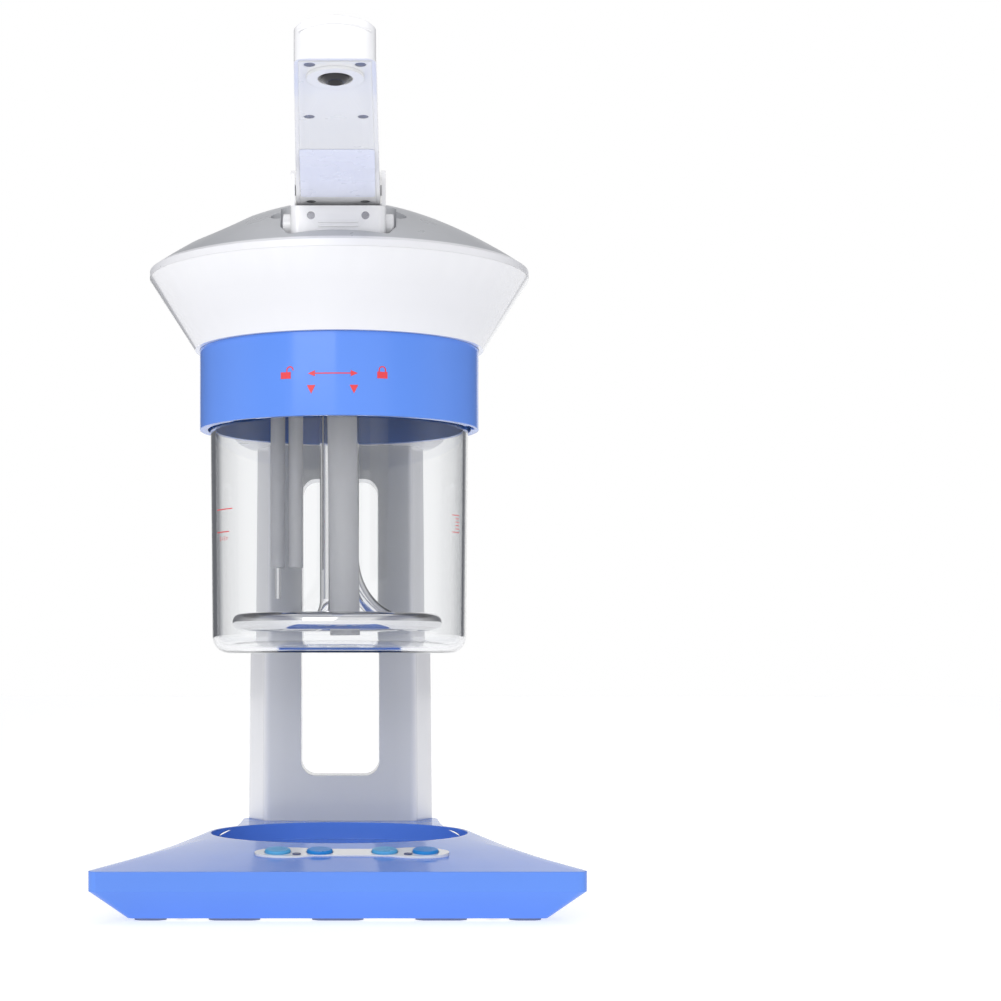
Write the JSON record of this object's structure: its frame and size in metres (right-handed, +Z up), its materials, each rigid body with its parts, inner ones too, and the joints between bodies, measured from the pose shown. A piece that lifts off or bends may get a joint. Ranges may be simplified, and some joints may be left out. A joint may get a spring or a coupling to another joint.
{
  "type": "facial steamer",
  "caption": "Desktop facial steamer with a dished base, push-button panel, windowed column, turn-lock glass beaker, domed head and a tilting lift-off steam arm.",
  "frame": {"origin": "on the surface it stands on, at the middle of the bounding box", "axes": "+Z up, +X to the user's right when facing the panel, -Y towards the user; the steam arm reaches towards -Y"},
  "size_m": [0.2278, 0.3692, 0.3716],
  "materials": {
    "blue_gloss": "glossy",
    "white_gloss": "glossy",
    "column_grey": "satin",
    "shell_satin": "satin",
    "white_satin": "satin",
    "clear_glass": "clear",
    "stainless": "polished",
    "steel": "plain",
    "tube_translucent": "satin",
    "silicone": "matte",
    "black_rubber": "matte",
    "black_plastic": "matte",
    "button_light": "glossy",
    "button_deep": "glossy",
    "led_dark": "glossy",
    "board_green": "matte",
    "cap_blue": "glossy"
  },
  "bodies": {
    "root": {"base_shell": "blue_gloss", "base_plate": "white_satin", "foot_pads": "black_rubber", "base_screws": "steel", "control_panel": "white_gloss", "panel_leds": "led_dark", "control_board": "board_green", "tact_switches": "black_plastic", "column_front": "column_grey", "column_back": "white_gloss", "power_inlet": "black_plastic", "inlet_pins": "steel", "wire_loom": "black_rubber", "collar": "blue_gloss", "beaker_seal": "silicone", "head_frame": "white_satin", "frame_screws": "steel", "heater_coil": "stainless", "heater_terminals": "steel", "thermal_cutout": "black_plastic", "water_tube": "tube_translucent", "probe_sleeves": "tube_translucent", "level_probes": "stainless", "steam_duct": "silicone", "fill_funnel": "white_satin", "head_skirt": "white_gloss", "top_shell": "shell_satin", "seat_bush": "silicone"},
    "beaker": {"beaker": "clear_glass"},
    "filler_cap": {"filler_cap": "cap_blue", "filler_cap_seal": "silicone"},
    "yoke": {"yoke": "white_gloss", "yoke_screws": "steel", "yoke_base": "white_satin", "steam_spigot": "white_satin", "hinge_pin_left": "steel", "hinge_pin_right": "steel"},
    "release_button_left": {"release_button_left": "white_gloss"},
    "release_button_right": {"release_button_right": "white_gloss"},
    "arm": {"arm_shell": "white_gloss", "arm_underplate": "white_satin", "arm_screws": "steel", "arm_tube": "silicone", "nozzle_ring": "white_satin", "nozzle": "black_plastic"},
    "panel_button_1": {"panel_button_1": "button_light"},
    "panel_button_2": {"panel_button_2": "button_deep"},
    "panel_button_3": {"panel_button_3": "button_light"},
    "panel_button_4": {"panel_button_4": "button_deep"}
  },
  "joints": [
    {"name": "beaker_turn", "type": "hinge", "parent": "root", "child": "beaker", "pos_m": [0, 0.0801, 0.2], "axis": [0, 0, 1], "range_deg": [0, 17]},
    {"name": "filler_cap_lift", "type": "slide", "parent": "root", "child": "filler_cap", "axis": [0, 0, 1], "range_m": [0, 0.03]},
    {"name": "yoke_lift", "type": "slide", "parent": "root", "child": "yoke", "axis": [0, 0, 1], "range_m": [0, 0.05]},
    {"name": "arm_tilt", "type": "hinge", "parent": "yoke", "child": "arm", "pos_m": [0, 0.0081, 0.346], "axis": [-1, 0, 0], "range_deg": [-5, 65]},
    {"name": "release_left_press", "type": "slide", "parent": "yoke", "child": "release_button_left", "axis": [1, 0, 0], "range_m": [0, 0.0018], "stiffness_N_per_m": 1200, "springref_m": -0.001},
    {"name": "release_right_press", "type": "slide", "parent": "yoke", "child": "release_button_right", "axis": [-1, 0, 0], "range_m": [0, 0.0018], "stiffness_N_per_m": 1200, "springref_m": -0.001},
    {"name": "panel_button_1_press", "type": "slide", "parent": "root", "child": "panel_button_1", "axis": [0, 0.134, -0.991], "range_m": [0, 0.0008], "stiffness_N_per_m": 1500, "springref_m": -0.0006},
    {"name": "panel_button_2_press", "type": "slide", "parent": "root", "child": "panel_button_2", "axis": [0, 0.134, -0.991], "range_m": [0, 0.0008], "stiffness_N_per_m": 1500, "springref_m": -0.0006},
    {"name": "panel_button_3_press", "type": "slide", "parent": "root", "child": "panel_button_3", "axis": [0, 0.134, -0.991], "range_m": [0, 0.0008], "stiffness_N_per_m": 1500, "springref_m": -0.0006},
    {"name": "panel_button_4_press", "type": "slide", "parent": "root", "child": "panel_button_4", "axis": [0, 0.134, -0.991], "range_m": [0, 0.0008], "stiffness_N_per_m": 1500, "springref_m": -0.0006}
  ]
}
